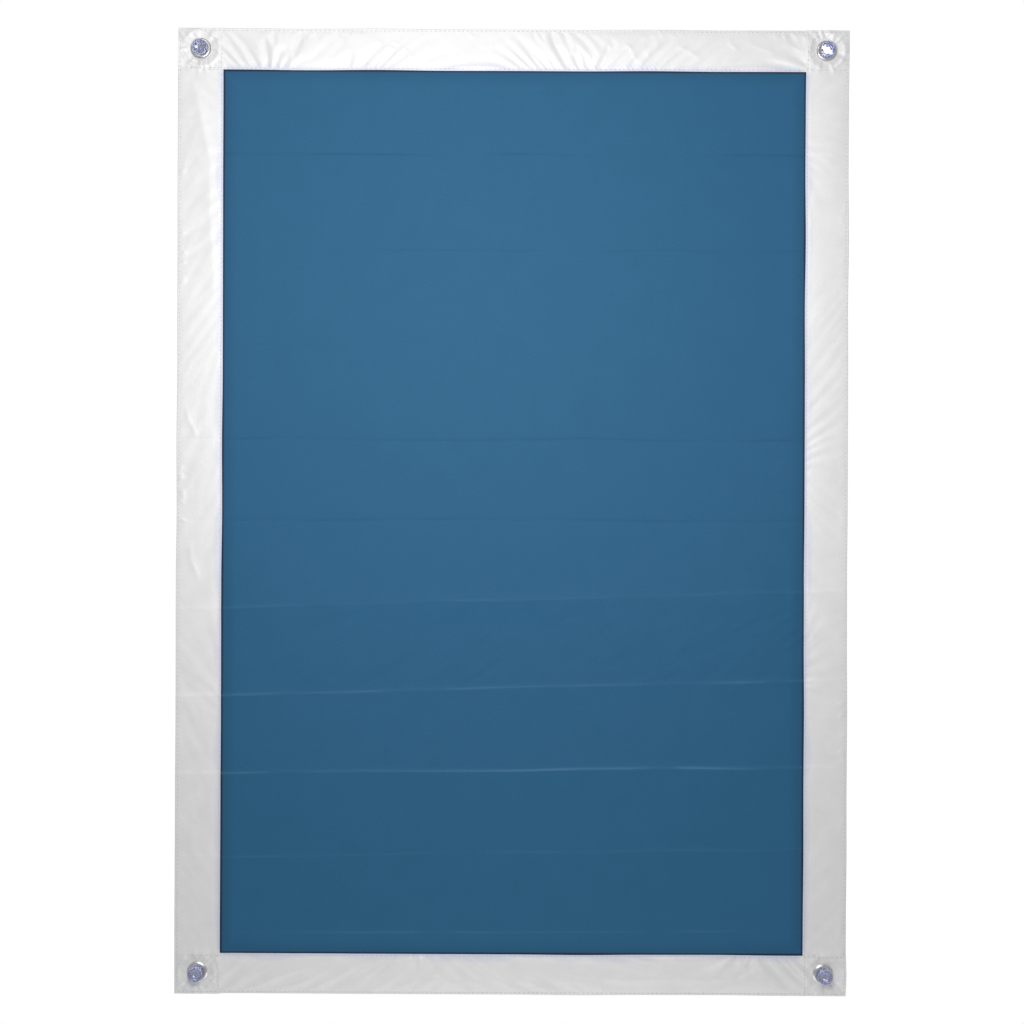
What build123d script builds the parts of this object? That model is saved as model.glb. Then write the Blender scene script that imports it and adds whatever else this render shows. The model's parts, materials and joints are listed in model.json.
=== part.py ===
"""Roof-window sun blind, held on the glass by four suction cups through corner eyelets.

A blue blackout sheet with a silver coating on its back is bound on all four sides by silver strips
folded over its edge. At the corners the strips meet like a pinwheel: each one runs through to the
outer edge at one end and butts against its neighbour at the other. Ten creases across the blind
split it into eleven panels, which fold up concertina fashion.

Millimetres. +X runs across the blind, +Z up, and the room is on the -Y side. The origin lies on the
glass, behind the middle of the blind, so a depth from the glass is a distance along -Y.
"""

from build123d import *

import os

# --- The cloth ---
WIDTH = 590.0
HEIGHT = 848.6
LEFT_BORDER = 40.0  # the visible width of each strip
RIGHT_BORDER = 38.0
TOP_BORDER = 36.5
BOTTOM_BORDER = 35.5
SHEET_T = 0.5
STRIP_T = 0.4  # one leg of a folded strip
HEM_FOLD = 1.2  # how much of a strip's width its fold takes up, outside the sheet's edge
SHEET_PLAY = 0.1  # between the sheet's edge and the inside of the fold

# Each crease's distance below the top edge. The blind was wound from its bottom edge for packing,
# so the panels get taller from the bottom up.
CREASES_BELOW_TOP = (110.0, 194.4, 278.8, 360.6, 431.8, 501.3, 578.7, 650.8, 723.8, 794.1)
CREASE_GAP = 0.12  # between the cut edges of two neighbouring panels

# --- Depths from the glass ---
SHEET_D = 9.75  # the back of the sheet
SHEET_FRONT_D = SHEET_D + SHEET_T
STRIP_BACK_D = SHEET_D - STRIP_T
STRIP_FRONT_D = SHEET_FRONT_D + STRIP_T
MID_D = SHEET_D + SHEET_T / 2

# --- The stitching ---
THREAD_W = 0.4
THREAD_T = 0.2
INNER_SEAM_INSET = 1.5  # from a strip's inner edge
OUTER_SEAM_INSET = 2.0  # from the blind's outer edge

# --- Eyelets ---
EYELET_SIDE_INSET = 20.0
EYELET_TOP_INSET = 18.0
EYELET_BOTTOM_INSET = 19.0
BORE_R = 5.0
METAL_T = 0.5
BARREL_R = BORE_R + METAL_T
CLOTH_HOLE_R = BARREL_R + 0.05
FLANGE_R = 9.25
FLANGE_CROWN = 1.7  # how far the rolled flange stands in front of the strip
WASHER_R = 9.0
WASHER_T = 0.5
CLINCH_R = 7.2
CLINCH_T = 0.5

# --- Suction cups, as pressed onto the glass ---
CUP_R = 17.5
LIP_WIDTH = 3.5
LIP_T = 0.7
HOLLOW_DEPTH = 1.8
HOLLOW_FLAT_R = 6.0
BOSS_R = 6.5
BOSS_FOOT_D = 5.8
SHOULDER_D = 7.6
NECK_R = 3.8
HEAD_R = 6.3
HEAD_UNDER_D = 14.2
HEAD_TOP_D = 19.0
HEAD_CROWN_R = 1.8
HEAD_UNDER_R = 0.8
BOSS_EDGE_R = 0.6
DIMPLE_R = 2.4
DIMPLE_DEPTH = 2.6
BOTTOM_CUP_PULL = 0.7  # the lower cups sit this far outwards and down, to keep the blind taut

TOP_Z = HEIGHT / 2
RIGHT_X = WIDTH / 2
# The strips' inner edges, for the left (-1) and right (1) and for the bottom (-1) and top (1).
INNER_X = {-1: LEFT_BORDER - RIGHT_X, 1: RIGHT_X - RIGHT_BORDER}
INNER_Z = {-1: BOTTOM_BORDER - TOP_Z, 1: TOP_Z - TOP_BORDER}
CORNERS = {
    "top_left": (-1, 1),
    "top_right": (1, 1),
    "bottom_left": (-1, -1),
    "bottom_right": (1, -1),
}


def eyelet_centre(corner):
    """X and Z of one corner's eyelet."""
    side, end = CORNERS[corner]
    inset = EYELET_TOP_INSET if end > 0 else EYELET_BOTTOM_INSET
    return side * (RIGHT_X - EYELET_SIDE_INSET), end * (TOP_Z - inset)


def cup_centre(corner):
    """X and Z of one corner's suction cup."""
    side, end = CORNERS[corner]
    x, z = eyelet_centre(corner)
    pull = BOTTOM_CUP_PULL if end < 0 else 0.0
    return x + side * pull, z - pull


def panel_spans():
    """Lowest and highest Z of each panel, from the top one down."""
    creases = [TOP_Z - below for below in CREASES_BELOW_TOP]
    highs = [TOP_Z] + [z - CREASE_GAP / 2 for z in creases]
    lows = [z + CREASE_GAP / 2 for z in creases] + [-TOP_Z]
    return list(zip(lows, highs))


def hole_places(low, high):
    """Where the eyelets' holes cross the glass plane, between two heights."""
    centres = [eyelet_centre(corner) for corner in CORNERS]
    return [(x, 0, z) for x, z in centres if low < z < high]


def write(piece, label):
    """Labels a finished piece and writes it as its own STEP file."""
    piece.part.label = label
    export_step(piece.part, f"parts/{label}.step")


def blackout_panel(low, high):
    """One panel of the blue sheet, which stops just inside the strips' folds."""
    edge = HEM_FOLD + SHEET_PLAY
    bottom = max(low, -TOP_Z + edge)
    top = min(high, TOP_Z - edge)
    holes = hole_places(low, high)
    with BuildPart() as sheet:
        with BuildSketch(Plane.XZ.offset(SHEET_D)):
            with Locations((0, (bottom + top) / 2)):
                Rectangle(WIDTH - 2 * edge, top - bottom)
        extrude(amount=SHEET_T)
        if holes:
            with Locations(*holes):
                Cylinder(CLOTH_HOLE_R, 4 * MID_D, rotation=(90, 0, 0), mode=Mode.SUBTRACT)
    return sheet


def folded_strip(profile_plane, outer, inner, length, holes):
    """A strip folded over the sheet's edge: its profile is drawn with X across and Y as depth."""
    inwards = 1 if inner > outer else -1
    web = outer + inwards * HEM_FOLD
    round_start = outer + inwards * (STRIP_FRONT_D - STRIP_BACK_D) / 2
    with BuildPart() as strip:
        with BuildSketch(profile_plane):
            with BuildLine():
                ThreePointArc((round_start, STRIP_BACK_D), (outer, MID_D), (round_start, STRIP_FRONT_D))
                Polyline(
                    (round_start, STRIP_FRONT_D),
                    (inner, STRIP_FRONT_D),
                    (inner, SHEET_FRONT_D),
                    (web, SHEET_FRONT_D),
                    (web, SHEET_D),
                    (inner, SHEET_D),
                    (inner, STRIP_BACK_D),
                    (round_start, STRIP_BACK_D),
                )
            make_face()
        extrude(amount=length)
        if holes:
            with Locations(*holes):
                Cylinder(CLOTH_HOLE_R, 4 * MID_D, rotation=(90, 0, 0), mode=Mode.SUBTRACT)
    return strip


def side_strip(side, low, high):
    """A length of the left (-1) or right (1) strip."""
    plane = Plane(origin=(0, 0, high), x_dir=(1, 0, 0), z_dir=(0, 0, -1))
    return folded_strip(plane, side * RIGHT_X, INNER_X[side], high - low, hole_places(low, high))


def end_strip(end, left, right):
    """The top (1) or bottom (-1) strip."""
    plane = Plane(origin=(left, 0, 0), x_dir=(0, 0, 1), z_dir=(1, 0, 0))
    low, high = sorted((end * TOP_Z, INNER_Z[end]))
    return folded_strip(plane, end * TOP_Z, INNER_Z[end], right - left, hole_places(low, high))


def seam_thread(low, high, number, last):
    """The stitching of one panel, as bars of thread that lie on the strips."""
    outer = (
        OUTER_SEAM_INSET - RIGHT_X,
        RIGHT_X - OUTER_SEAM_INSET,
        OUTER_SEAM_INSET - TOP_Z,
        TOP_Z - OUTER_SEAM_INSET,
    )
    inner = (
        INNER_X[-1] - INNER_SEAM_INSET,
        INNER_X[1] + INNER_SEAM_INSET,
        INNER_Z[-1] - INNER_SEAM_INSET,
        INNER_Z[1] + INNER_SEAM_INSET,
    )
    with BuildPart() as thread:
        with BuildSketch(Plane.XZ.offset(STRIP_FRONT_D)):
            for left, right, bottom, top in (outer, inner):
                start, stop = max(low, bottom), min(high, top)
                with Locations((left, (start + stop) / 2), (right, (start + stop) / 2)):
                    Rectangle(THREAD_W, stop - start)
                if number == 1:
                    with Locations(((left + right) / 2, top - THREAD_W / 2)):
                        Rectangle(right - left, THREAD_W)
                if number == last:
                    with Locations(((left + right) / 2, bottom + THREAD_W / 2)):
                        Rectangle(right - left, THREAD_W)
        extrude(amount=THREAD_T)
    return thread


def turning_plane(centre):
    """A plane through a turned piece's axis, with the radius along its X and +Y as its Y."""
    x, z = centre
    return Plane(origin=(x, 0, z), x_dir=(1, 0, 0), z_dir=(0, 0, 1))


def turning_axis(centre):
    """The line along Y that a turned piece is turned about."""
    x, z = centre
    return Axis((x, 0, z), (0, 1, 0))


def eyelet(corner):
    """Rolled flange and barrel in one sheet-metal piece, clinched over the washer at the back."""
    centre = eyelet_centre(corner)
    crest_r = (FLANGE_R + BORE_R) / 2
    washer_back_d = STRIP_BACK_D - WASHER_T
    inside_top_d = STRIP_FRONT_D + METAL_T
    with BuildPart() as ring:
        with BuildSketch(turning_plane(centre)):
            with BuildLine():
                ThreePointArc(
                    (FLANGE_R, -STRIP_FRONT_D),
                    (crest_r, -STRIP_FRONT_D - FLANGE_CROWN),
                    (BORE_R, -inside_top_d),
                )
                Polyline(
                    (BORE_R, -inside_top_d),
                    (BORE_R, -washer_back_d + CLINCH_T),
                    (CLINCH_R, -washer_back_d + CLINCH_T),
                    (CLINCH_R, -washer_back_d),
                    (BARREL_R, -washer_back_d),
                    (BARREL_R, -inside_top_d),
                )
                ThreePointArc(
                    (BARREL_R, -inside_top_d),
                    (crest_r, -STRIP_FRONT_D - FLANGE_CROWN + METAL_T),
                    (FLANGE_R - METAL_T, -STRIP_FRONT_D),
                )
                Line((FLANGE_R - METAL_T, -STRIP_FRONT_D), (FLANGE_R, -STRIP_FRONT_D))
            make_face()
        revolve(axis=turning_axis(centre))
    return ring


def washer(corner):
    """Flat ring between the strip's back leg and the eyelet's clinched end."""
    with BuildPart() as ring:
        with BuildSketch(Plane.XZ.offset(STRIP_BACK_D - WASHER_T)):
            with Locations(eyelet_centre(corner)):
                Circle(WASHER_R)
                Circle(CLOTH_HOLE_R, mode=Mode.SUBTRACT)
        extrude(amount=WASHER_T)
    return ring


def rims(piece, depth, radius):
    """The circular edges of a turned piece at one depth from the glass and one radius."""
    circles = piece.edges().filter_by(GeomType.CIRCLE)
    return circles.filter_by(
        lambda edge: abs(edge.center().Y + depth) < 0.01 and abs(edge.radius - radius) < 0.01
    )


def suction_cup(corner):
    """One clear moulding: lip, cup, boss, neck and a mushroom head with a dimple in its top."""
    centre = cup_centre(corner)
    lip_inner_r = CUP_R - LIP_WIDTH
    skirt_mid = ((CUP_R + BOSS_R) / 2 + 0.6, -(LIP_T + BOSS_FOOT_D) / 2 - 0.8)
    with BuildPart() as cup:
        with BuildSketch(turning_plane(centre)):
            with BuildLine():
                Line((0, -HOLLOW_DEPTH), (HOLLOW_FLAT_R, -HOLLOW_DEPTH))
                Line((HOLLOW_FLAT_R, -HOLLOW_DEPTH), (lip_inner_r, 0))
                Polyline((lip_inner_r, 0), (CUP_R, 0), (CUP_R, -LIP_T))
                ThreePointArc((CUP_R, -LIP_T), skirt_mid, (BOSS_R, -BOSS_FOOT_D))
                Polyline(
                    (BOSS_R, -BOSS_FOOT_D),
                    (BOSS_R, -SHOULDER_D),
                    (NECK_R, -SHOULDER_D),
                    (NECK_R, -HEAD_UNDER_D),
                    (HEAD_R, -HEAD_UNDER_D),
                    (HEAD_R, -HEAD_TOP_D),
                    (DIMPLE_R, -HEAD_TOP_D),
                    (DIMPLE_R, -HEAD_TOP_D + DIMPLE_DEPTH),
                    (0, -HEAD_TOP_D + DIMPLE_DEPTH),
                    (0, -HOLLOW_DEPTH),
                )
            make_face()
        revolve(axis=turning_axis(centre))
        fillet(rims(cup, HEAD_TOP_D, HEAD_R), HEAD_CROWN_R)
        fillet(rims(cup, HEAD_TOP_D, DIMPLE_R), DIMPLE_R * 0.3)
        fillet(rims(cup, HEAD_UNDER_D, HEAD_R), HEAD_UNDER_R)
        fillet(rims(cup, SHOULDER_D, BOSS_R), BOSS_EDGE_R)
    return cup


os.makedirs("parts", exist_ok=True)

spans = panel_spans()
last = len(spans)

for number, (low, high) in enumerate(spans, start=1):
    # The right strip runs through the top corner, and the left strip through the bottom one.
    left_high = INNER_Z[1] if number == 1 else high
    right_low = INNER_Z[-1] if number == last else low
    write(blackout_panel(low, high), f"blackout_panel_{number:02d}")
    write(side_strip(-1, low, left_high), f"left_border_{number:02d}")
    write(side_strip(1, right_low, high), f"right_border_{number:02d}")
    write(seam_thread(low, high, number, last), f"seam_thread_{number:02d}")

write(end_strip(1, -RIGHT_X, INNER_X[1]), "top_border")
write(end_strip(-1, INNER_X[-1], RIGHT_X), "bottom_border")

for corner in CORNERS:
    write(eyelet(corner), f"eyelet_{corner}")
    write(washer(corner), f"eyelet_washer_{corner}")
    write(suction_cup(corner), f"suction_cup_{corner}")
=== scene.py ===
"""Looks of a roof-window sun blind: a blue cloth in folded silver hems, eyelets and suction cups.

Lengths are millimetres in this file's own arithmetic and become metres where a mesh is made.
x runs across the blind, z up it, and d is the depth from the glass towards the room, so y = -d.
"""

import json
import math

import bpy
import numpy as np
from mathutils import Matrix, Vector


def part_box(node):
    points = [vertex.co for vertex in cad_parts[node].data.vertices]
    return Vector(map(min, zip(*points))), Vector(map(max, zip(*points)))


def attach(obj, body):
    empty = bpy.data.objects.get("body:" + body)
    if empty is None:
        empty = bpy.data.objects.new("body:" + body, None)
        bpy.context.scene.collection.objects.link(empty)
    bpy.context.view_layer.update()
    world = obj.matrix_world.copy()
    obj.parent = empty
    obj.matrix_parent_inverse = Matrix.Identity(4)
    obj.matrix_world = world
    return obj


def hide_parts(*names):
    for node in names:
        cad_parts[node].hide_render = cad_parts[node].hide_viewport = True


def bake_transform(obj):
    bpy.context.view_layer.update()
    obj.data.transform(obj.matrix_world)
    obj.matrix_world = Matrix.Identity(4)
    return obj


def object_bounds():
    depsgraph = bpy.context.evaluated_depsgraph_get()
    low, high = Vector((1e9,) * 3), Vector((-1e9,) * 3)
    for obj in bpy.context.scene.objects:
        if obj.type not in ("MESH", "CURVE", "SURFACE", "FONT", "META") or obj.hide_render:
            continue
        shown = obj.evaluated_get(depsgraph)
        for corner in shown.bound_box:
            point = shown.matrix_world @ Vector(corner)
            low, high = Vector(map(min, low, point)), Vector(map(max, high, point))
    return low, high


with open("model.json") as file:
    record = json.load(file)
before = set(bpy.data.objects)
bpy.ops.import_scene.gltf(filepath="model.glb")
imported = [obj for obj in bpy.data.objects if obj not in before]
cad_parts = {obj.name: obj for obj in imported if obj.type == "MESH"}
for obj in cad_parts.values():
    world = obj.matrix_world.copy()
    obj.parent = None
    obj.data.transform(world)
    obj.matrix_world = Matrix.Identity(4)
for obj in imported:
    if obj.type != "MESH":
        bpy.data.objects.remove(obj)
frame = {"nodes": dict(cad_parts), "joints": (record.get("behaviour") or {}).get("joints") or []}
cad_low, cad_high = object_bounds()
MM = 1000.0

# --- Sizes that the frame gives ---
HALF_W = cad_high.x * MM
HALF_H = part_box("right_border_01")[1].z * MM
LEFT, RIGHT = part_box("left_border_02")[1].x * MM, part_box("right_border_02")[0].x * MM
BOTTOM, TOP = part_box("bottom_border")[1].z * MM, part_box("top_border")[0].z * MM
STRIP_FRONT = -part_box("right_border_02")[0].y * MM
STRIP_BACK = -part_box("right_border_02")[1].y * MM
SHEET_FRONT = -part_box("blackout_panel_02")[0].y * MM
SHEET_BACK = -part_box("blackout_panel_02")[1].y * MM
SHEET_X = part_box("blackout_panel_02")[1].x * MM
SHEET_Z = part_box("blackout_panel_01")[1].z * MM
MID = (SHEET_FRONT + SHEET_BACK) / 2
STRIP_T = STRIP_FRONT - SHEET_FRONT
WIDTHS = {
    "top": HALF_H - TOP,
    "bottom": HALF_H + BOTTOM,
    "left": HALF_W + LEFT,
    "right": HALF_W - RIGHT,
}
TUCK = 3.0  # how far a hem's end goes in under the hem that crosses it
ENDS = {
    "top": (-HALF_W, RIGHT + TUCK),
    "bottom": (LEFT - TUCK, HALF_W),
    "left": (-HALF_H, TOP + TUCK),
    "right": (BOTTOM - TUCK, HALF_H),
}

FOLDS = [j for j in frame["joints"] if j["name"].startswith("fold_")]
CREASES = [j["pos_m"][2] * MM for j in FOLDS]
CORNERS = ("top_left", "top_right", "bottom_left", "bottom_right")


def centre_of(node):
    """X and Z of the middle of a CAD node."""
    low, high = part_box(node)
    return (low.x + high.x) / 2 * MM, (low.z + high.z) / 2 * MM


EYELETS = {corner: centre_of("eyelet_" + corner) for corner in CORNERS}
CUPS = {corner: centre_of("suction_cup_" + corner) for corner in CORNERS}
FLANGE_R = (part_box("eyelet_top_left")[1].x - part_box("eyelet_top_left")[0].x) / 2 * MM
CUP_R = (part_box("suction_cup_top_left")[1].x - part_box("suction_cup_top_left")[0].x) / 2 * MM


# ------------------------------------------------------------------ smooth noise and steps

LATTICE = 128  # the noise repeats after this many units


def noise(u, v, seed):
    """Smooth noise from -1 to 1, with one lattice point for each unit of u and v."""
    table = np.random.default_rng(seed).uniform(-1, 1, (LATTICE, LATTICE))
    i, j = np.floor(u).astype(int), np.floor(v).astype(int)
    f, g = u - i, v - j
    f, g = f * f * (3 - 2 * f), g * g * (3 - 2 * g)
    i, j, after_i, after_j = i % LATTICE, j % LATTICE, (i + 1) % LATTICE, (j + 1) % LATTICE
    low = table[i, j] * (1 - f) + table[after_i, j] * f
    high = table[i, after_j] * (1 - f) + table[after_i, after_j] * f
    return low * (1 - g) + high * g


def step(value, low, high):
    """Rises smoothly from 0 at low to 1 at high."""
    t = np.clip((value - low) / (high - low), 0, 1)
    return t * t * (3 - 2 * t)


def corner_distance(x, z, places=EYELETS):
    """Distance to the nearest eyelet or cup."""
    return np.min([np.hypot(x - a, z - b) for a, b in places.values()], axis=0)


def cubic(table, u, v):
    """Smooth interpolation in a table with a row for each unit of u and a column for each of v."""
    i, j = np.floor(u).astype(int), np.floor(v).astype(int)
    total = 0.0
    weights = []
    for t in (u - i, v - j):
        weights.append(
            (
                ((2 - t) * t - 1) * t / 2,
                ((3 * t - 5) * t * t + 2) / 2,
                ((4 - 3 * t) * t + 1) * t / 2,
                (t - 1) * t * t / 2,
            )
        )
    for m in range(4):
        row = np.clip(i + m - 1, 0, table.shape[0] - 1)
        for n in range(4):
            column = np.clip(j + n - 1, 0, table.shape[1] - 1)
            total = total + weights[0][m] * weights[1][n] * table[row, column]
    return total


# ------------------------------------------------------------------ the cloth's relief

# Each crease: ridge height, its reach above and below the line, its rise from left to right, and
# how much painted highlight (or painted shade, below zero) lies along it.
CREASE_SHAPES = (
    (-0.30, 1.6, 3.0, 1.0, -0.20),
    (-0.22, 1.6, 3.0, 1.0, -0.12),
    (-0.10, 1.8, 3.0, 0.0, -0.02),
    (-0.30, 1.8, 3.0, 1.0, -0.15),
    (-0.32, 1.8, 3.0, 1.5, -0.13),
    (1.20, 3.0, 17.0, 16.0, 0.13),
    (1.00, 2.0, 13.0, 15.0, 0.24),
    (1.20, 1.9, 15.0, 7.0, 0.45),
    (0.40, 1.9, 12.0, 9.0, 0.08),
    (0.65, 1.9, 10.0, 3.0, 0.14),
)
CREASE_EDGE = 0.35  # how soft the very top of a crease is
RISE_OVER = 510  # the width over which a crease rises by its own amount

# The cloth stands furthest forward along two of its creases: crease, height, reach above and below.
BROAD_FORMS = ((5, 3.0, 60.0, 85.0), (7, 1.4, 30.0, 60.0))


def from_crease(number, x, z):
    """How far a point lies above a crease's own line, and how strong the crease is there."""
    line = CREASES[number] + CREASE_SHAPES[number][3] * (x / RISE_OVER)
    line = line + 0.9 * noise(x / 70, number + x * 0, 4)
    return z - line, 0.8 + 0.45 * noise(x / 55, 3 * number + x * 0, 5)


def crease_painted_light(x, z):
    """Painted highlight (or painted shade, below zero) along the creases."""
    total = 0.0
    for number, shape in enumerate(CREASE_SHAPES):
        s, strength = from_crease(number, x, z)
        painted_strength = strength + 0.9 * noise(x / 33, 7 * number + x * 0, 7)
        total = total + shape[4] * np.clip(painted_strength, 0.1, 1.4) * np.exp(-((s / 0.95) ** 2))
    return total


def relief(x, z):
    """How far the cloth stands in front of its flat place."""
    total = 0.5 * noise(x / 150, z / 120, 1) + 0.10 * noise(x / 48, z / 40, 2)
    total += 0.035 * noise(x / 9, z / 9, 3)
    middle = step(HALF_W - np.abs(x), 20, 90)
    for number, height, above, below in BROAD_FORMS:
        s = z - CREASES[number]
        total += height * np.exp(-np.sqrt(s * s + 4) / np.where(s > 0, above, below)) * middle
    for number, (height, above, below, _, _) in enumerate(CREASE_SHAPES):
        s, strength = from_crease(number, x, z)
        away = (np.sqrt(s * s + CREASE_EDGE**2) - CREASE_EDGE) / np.where(s > 0, above, below)
        total += height * strength * np.exp(-away)
    # Slanting crinkles in the panel below the deepest crease.
    along = x * 0.83 + z * 0.55
    across = -x * 0.55 + z * 0.83
    band = step(z, CREASES[6] - 8, CREASES[6] + 14) * (1 - step(z, CREASES[5] - 22, CREASES[5] + 4))
    total += 0.26 * band * noise(along / 21, across / 5.5, 6)
    inside = np.minimum(np.minimum(x - LEFT, RIGHT - x), np.minimum(z - BOTTOM, TOP - z))
    total *= 0.4 + 0.6 * step(inside, 0, 12)
    return total * step(corner_distance(x, z), 14, 60)


# ------------------------------------------------------------------ the hems

SEAM_OUT = 2.0  # the outer row of stitches, from the outer edge
SEAM_IN = 1.5  # the inner row of stitches, from the hem's free edge
STITCH_ALONG_SIDES = 3.67  # from one stitch to the next
STITCH_ALONG_ENDS = 4.04

# How each hem is sewn: its puff, how much fuller it is cut along and across, its slant, the pitch
# at which these change, how much of the simulated folds shows, and a seed.
HEM_COLUMNS = ("puff", "fuller", "across", "slant", "pitch", "gain", "seed")
HEM_ROWS = {
    "top": (0.5, 0.016, 0.010, -1.5, 30.0, 0.8, 20),
    "bottom": (0.7, 0.005, 0.012, 1.0, 46.0, 0.85, 31),
    "left": (0.15, 0.002, 0.003, 0.3, 60.0, 0.28, 42),
    "right": (0.5, 0.002, 0.003, -0.7, 60.0, 0.3, 53),
}
HEMS = {side: dict(zip(HEM_COLUMNS, row)) for side, row in HEM_ROWS.items()}

# Single folds that stand out: side, then s and a where each starts and ends, height and half-width.
SINGLE_FOLDS = (
    ("top", -130, 5, -78, 31, 0.9, 2.2),
    ("top", -108, 10, -92, 22, 0.5, 1.6),
    ("top", -30, 27, -12, 8, 0.5, 2.0),
    ("top", -254, 9, -223, 25, 0.5, 2.0),
    ("top", -250, 19, -234, 31, 0.4, 1.8),
    ("top", -30, 15, -3, 11, 0.4, 2.0),
    ("top", 97, 12, 110, 27, 0.5, 2.0),
    ("top", 127, 10, 117, 24, 0.6, 2.5),
    ("top", 144, 14, 165, 24, 0.5, 2.4),
    ("top", 188, 7, 195, 19, 0.5, 2.0),
    ("top", 205, 12, 229, 21, 0.45, 2.2),
    ("top", 236, 12, 255, 18, 0.6, 2.0),
    ("left", 369, 16, 308, 29, 1.1, 6.0),
    ("left", 318, 29, 190, 31, 0.9, 6.0),
    ("left", 92, 8, 66, 16, 0.6, 2.2),
    ("left", -30, 12, -62, 19, 0.6, 2.4),
    ("bottom", -214, 12, -160, 25, 0.6, 2.2),
    ("bottom", -200, 8, -150, 16, 0.5, 2.0),
    ("bottom", -90, 12, 75, 14, 1.0, 4.5),
    ("bottom", 60, 14, 235, 13, 1.2, 4.0),
)


def upright(side):
    """Whether a hem runs up the blind, as the left and the right one do."""
    return side in ("left", "right")


def hem_point(side, a, s):
    """X and Z of the point of a hem that is a in from its outer edge and s along it."""
    if upright(side):
        sign = -1 if side == "left" else 1
        return sign * (HALF_W - a), s
    sign = -1 if side == "bottom" else 1
    return s, sign * (HALF_H - a)


SIM_UNIT = 10.0  # the simulation counts in centimetres
SIM_SPACING = 1.8  # the size of its mesh
SIM_FRAMES = 22
SEWN_BY = 13  # the frame by which the edges have been drawn in to their seams


def buckled(side):
    """Heights of a hem's outer leg between its rows of stitches, from a cloth simulation.

    The leg is cut fuller than the place that it is sewn to, and at a slant. Its two long edges are
    drawn in to their seams, and the cloth between them buckles.
    """
    hem = HEMS[side]
    width = WIDTHS[side] - SEAM_OUT - SEAM_IN
    low, high = ENDS[side]
    rows = round(width / SIM_SPACING)
    columns = round((high - low) / SIM_SPACING)
    stops = np.linspace(0, width, rows + 1), np.linspace(0, high - low, columns + 1)
    a, s = np.meshgrid(*stops, indexing="ij")
    seed = hem["seed"]
    fed = hem["fuller"] * (0.7 + 1.1 * noise(s[0] / hem["pitch"], s[0] * 0, seed))
    lean = hem["slant"] * (0.25 + 1.6 * noise(s / (1.6 * hem["pitch"]), a * 0, seed + 1))
    arch = np.sin(math.pi * a / width)
    start = 0.15 * noise(s / 6, a / 6, seed + 2) * arch
    shifted = s + np.cumsum(fed) * SIM_SPACING + lean * a / width
    loose = np.stack([shifted, a * (1 + hem["across"]), start + 0.3 * arch])
    sewn = np.stack([s, a, start])
    mesh = bpy.data.meshes.new("buckled")
    index = np.arange(a.size).reshape(a.shape)
    quads = np.stack([index[:-1, :-1], index[:-1, 1:], index[1:, 1:], index[1:, :-1]], -1)
    quads = quads.reshape(-1, 4)
    mesh.from_pydata((loose.reshape(3, -1).T / SIM_UNIT).tolist(), [], quads.tolist())
    cloth = bpy.data.objects.new("buckled", mesh)
    bpy.context.scene.collection.objects.link(cloth)
    seams = cloth.vertex_groups.new(name="seams")
    seams.add([int(k) for k in (*index[0], *index[-1])], 1.0, "REPLACE")
    cloth.shape_key_add(name="Basis")
    key = cloth.shape_key_add(name="sewn")
    key.data.foreach_set("co", (sewn.reshape(3, -1).T / SIM_UNIT).ravel().astype(np.float32))
    for value, at in ((0, 1), (1, SEWN_BY)):
        key.value = value
        key.keyframe_insert("value", frame=at)
    modifier = cloth.modifiers.new("cloth", "CLOTH")
    fabric = modifier.settings
    fabric.quality = 8
    fabric.mass = 0.15
    fabric.air_damping = 2.0
    fabric.tension_stiffness = fabric.compression_stiffness = 15.0
    fabric.shear_stiffness = 9.0
    fabric.bending_stiffness = 0.08
    fabric.tension_damping = fabric.compression_damping = 8.0
    fabric.shear_damping = 6.0
    fabric.vertex_group_mass = "seams"
    fabric.effector_weights.gravity = 0.0
    fabric.use_pressure = True
    fabric.uniform_pressure_force = 0.12
    modifier.collision_settings.use_collision = False
    modifier.point_cache.frame_start, modifier.point_cache.frame_end = 1, SIM_FRAMES
    for at in range(1, SIM_FRAMES + 1):
        bpy.context.scene.frame_set(at)
    settled = cloth.evaluated_get(bpy.context.evaluated_depsgraph_get()).to_mesh()
    points = np.empty(a.size * 3, np.float32)
    settled.vertices.foreach_get("co", points)
    height = points.reshape(*a.shape, 3)[..., 2] * SIM_UNIT
    action = mesh.shape_keys.animation_data.action
    bpy.data.objects.remove(cloth)
    bpy.data.meshes.remove(mesh)
    bpy.data.actions.remove(action)
    bpy.context.scene.frame_set(1)
    return height


BUCKLES = {side: buckled(side) for side in HEMS}


def along_fold(side, a, s):
    """The height that the single folds add."""
    total = np.zeros(np.shape(a + s))
    for where, s0, a0, s1, a1, height, half in SINGLE_FOLDS:
        if where != side:
            continue
        length = math.hypot(s1 - s0, a1 - a0)
        t = ((s - s0) * (s1 - s0) + (a - a0) * (a1 - a0)) / length**2
        off = ((s - s0) * (a1 - a0) - (a - a0) * (s1 - s0)) / length
        off = off + 1.6 * noise(t * 2.5, t * 0, int(s0) % 97)
        ends = step(t, -0.12, 0.2) * (1 - step(t, 0.8, 1.12))
        total = total + height * ends * np.exp(-np.sqrt((off / half) ** 2 + 0.08))
    return total


HIGHEST_FOLD = 3.2


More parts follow.
